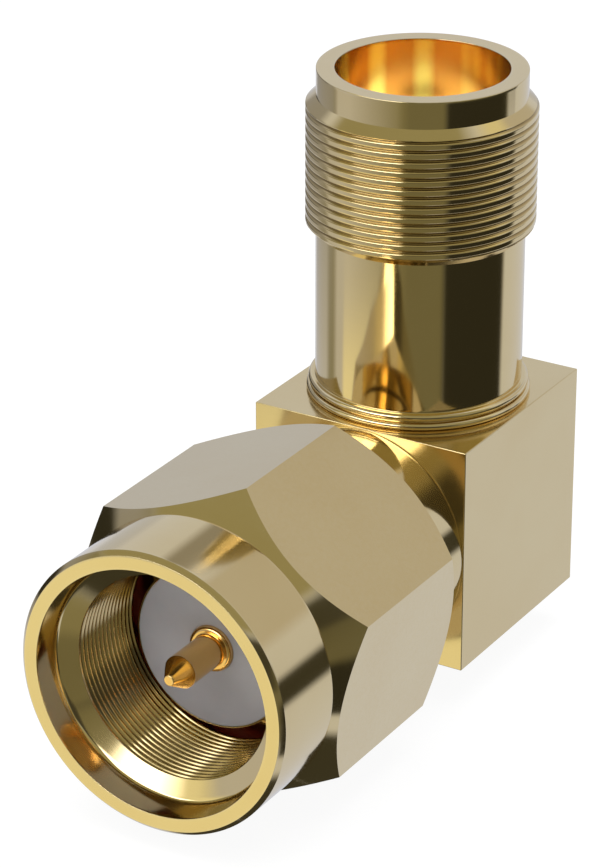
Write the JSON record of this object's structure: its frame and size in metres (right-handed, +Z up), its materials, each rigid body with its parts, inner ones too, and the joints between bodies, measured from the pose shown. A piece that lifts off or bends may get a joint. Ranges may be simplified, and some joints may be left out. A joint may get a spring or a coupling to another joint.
{
  "type": "right-angle coaxial adapter",
  "caption": "Right-angle coaxial adapter: cube elbow with a threaded jack on top and a plug with a hexagonal coupling nut and centre pin in front.",
  "frame": {"origin": "centre of the elbow block's bottom face, under the jack's axis", "axes": "+Z up along the jack's axis, the plug points along -Y with its axis 3.25 mm above the bottom face, +X completes the right-handed frame"},
  "size_m": [0.0086, 0.017, 0.017],
  "materials": {
    "gold_plate": "polished",
    "nut_gold": "polished",
    "contact_gold": "polished",
    "insulator": "satin",
    "gasket_rubber": "matte",
    "spring_ring": "satin",
    "solder": "satin"
  },
  "bodies": {
    "elbow": {"elbow_block": "gold_plate", "rear_cap": "gold_plate", "jack_barrel": "gold_plate", "jack_insulator": "insulator", "jack_contact": "contact_gold", "plug_body": "gold_plate", "plug_insulator": "insulator", "plug_contact": "contact_gold", "solder_joint": "solder", "gasket": "gasket_rubber"},
    "nut": {"coupling_nut": "nut_gold", "retaining_ring": "spring_ring"}
  },
  "joints": [
    {"name": "nut_spin", "type": "hinge", "parent": "elbow", "child": "nut", "pos_m": [0, -0.009, 0.00325], "axis": [0, -1, 0], "continuous": true}
  ]
}
